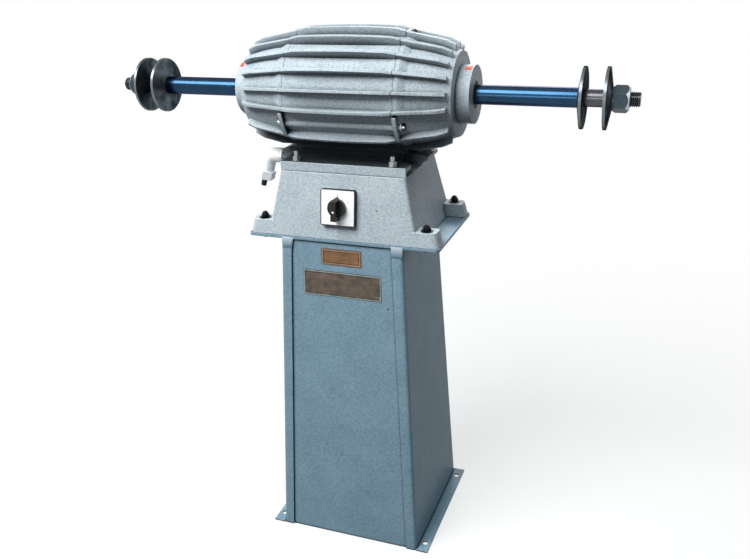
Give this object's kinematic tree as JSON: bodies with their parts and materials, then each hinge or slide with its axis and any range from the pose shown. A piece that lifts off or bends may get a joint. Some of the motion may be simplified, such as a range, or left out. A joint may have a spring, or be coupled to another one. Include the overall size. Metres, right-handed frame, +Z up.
{
  "type": "pedestal polishing lathe",
  "caption": "Floor-standing polishing lathe: finned motor with a long spindle and wheel flanges at both ends, cast hopper with a rotary switch, tapered sheet-metal pedestal.",
  "frame": {"origin": "on the floor, under the middle of the spindle", "axes": "+X along the spindle to the operator's right, +Y to the back, +Z up"},
  "size_m": [0.946, 0.278, 0.9599],
  "materials": {
    "blue_grey_hammer_paint": "hammered enamel, semi-gloss",
    "silver_hammer_paint": "hammered silver enamel, semi-gloss",
    "black_oxide_steel": "black oxide",
    "zinc_plated_steel": "bright zinc",
    "laminated_steel": "stacked laminations",
    "enamelled_copper": "varnished winding",
    "cast_aluminium": "as cast",
    "bearing_steel": "ground and polished",
    "black_rubber": "matt",
    "blued_steel": "ground, blued",
    "turned_steel": "turned faces, bright rims",
    "nut_steel": "machined, dull",
    "black_plastic": "satin",
    "black_gloss_plastic": "gloss",
    "white_dial": "white plate with grey marks",
    "white_plastic": "moulded",
    "bronze_plate": "dark bronze, bare"
  },
  "bodies": {
    "stand": {"back_panel": "blue_grey_hammer_paint", "front_panel": "blue_grey_hammer_paint", "left_side_sheet": "blue_grey_hammer_paint", "right_side_sheet": "blue_grey_hammer_paint", "top_plate": "blue_grey_hammer_paint", "hopper": "silver_hammer_paint", "hopper_bolts": "black_oxide_steel", "hopper_washers": "black_oxide_steel", "hopper_dome_nuts": "black_oxide_steel", "foot_studs": "zinc_plated_steel", "foot_washers": "zinc_plated_steel", "foot_nuts": "zinc_plated_steel", "stator_frame": "silver_hammer_paint", "left_end_shield": "silver_hammer_paint", "right_end_shield": "silver_hammer_paint", "tie_rods": "zinc_plated_steel", "tie_nuts": "zinc_plated_steel", "stator_core": "laminated_steel", "stator_winding": "enamelled_copper", "left_bearing_outer_ring": "bearing_steel", "right_bearing_outer_ring": "bearing_steel", "left_bearing_shields": "zinc_plated_steel", "right_bearing_shields": "zinc_plated_steel", "left_shaft_seal": "black_rubber", "right_shaft_seal": "black_rubber", "switch_bezel": "black_plastic", "switch_dial": "white_dial", "switch_block": "black_plastic", "gland_elbow": "white_plastic", "gland_locknut": "white_plastic", "gland_dome_nut": "white_plastic", "gland_bush": "black_rubber", "large_label_plate": "bronze_plate", "small_label_plate": "bronze_plate"},
    "rotor": {"spindle": "blued_steel", "rotor_core": "laminated_steel", "rotor_end_rings": "cast_aluminium", "left_bearing_inner_ring": "bearing_steel", "right_bearing_inner_ring": "bearing_steel", "left_inner_flange": "turned_steel", "right_inner_flange": "turned_steel"},
    "left_flange": {"left_outer_flange": "turned_steel"},
    "right_flange": {"right_outer_flange": "turned_steel"},
    "left_nut": {"left_spindle_nut": "nut_steel"},
    "right_nut": {"right_spindle_nut": "nut_steel"},
    "knob": {"switch_knob": "black_gloss_plastic", "switch_shaft": "zinc_plated_steel"}
  },
  "joints": [
    {"name": "rotor_spin", "type": "hinge", "parent": "stand", "child": "rotor", "pos_m": [0, 0, 0.85], "axis": [1, 0, 0], "continuous": true},
    {"name": "left_flange_slide", "type": "slide", "parent": "rotor", "child": "left_flange", "axis": [-1, 0, 0], "range_m": [-0.0025, 0.03]},
    {"name": "left_nut_turn", "type": "hinge", "parent": "left_flange", "child": "left_nut", "pos_m": [-0.4435, 0, 0.85], "axis": [1, 0, 0], "range_deg": [-300, 3600]},
    {"name": "right_flange_slide", "type": "slide", "parent": "rotor", "child": "right_flange", "axis": [1, 0, 0], "range_m": [-0.0025, 0.03]},
    {"name": "right_nut_turn", "type": "hinge", "parent": "right_flange", "child": "right_nut", "pos_m": [0.4435, 0, 0.85], "axis": [1, 0, 0], "range_deg": [-300, 3600]},
    {"name": "knob_turn", "type": "hinge", "parent": "stand", "child": "knob", "pos_m": [-0.003, -0.09463, 0.6676], "axis": [0, -0.9896, 0.1439], "range_deg": [-60, 60]}
  ],
  "couplings": [
    {"joint": "left_flange_slide", "follows": "left_nut_turn", "m_per_rad": 0.00047746},
    {"joint": "right_flange_slide", "follows": "right_nut_turn", "m_per_rad": 0.00047746}
  ]
}
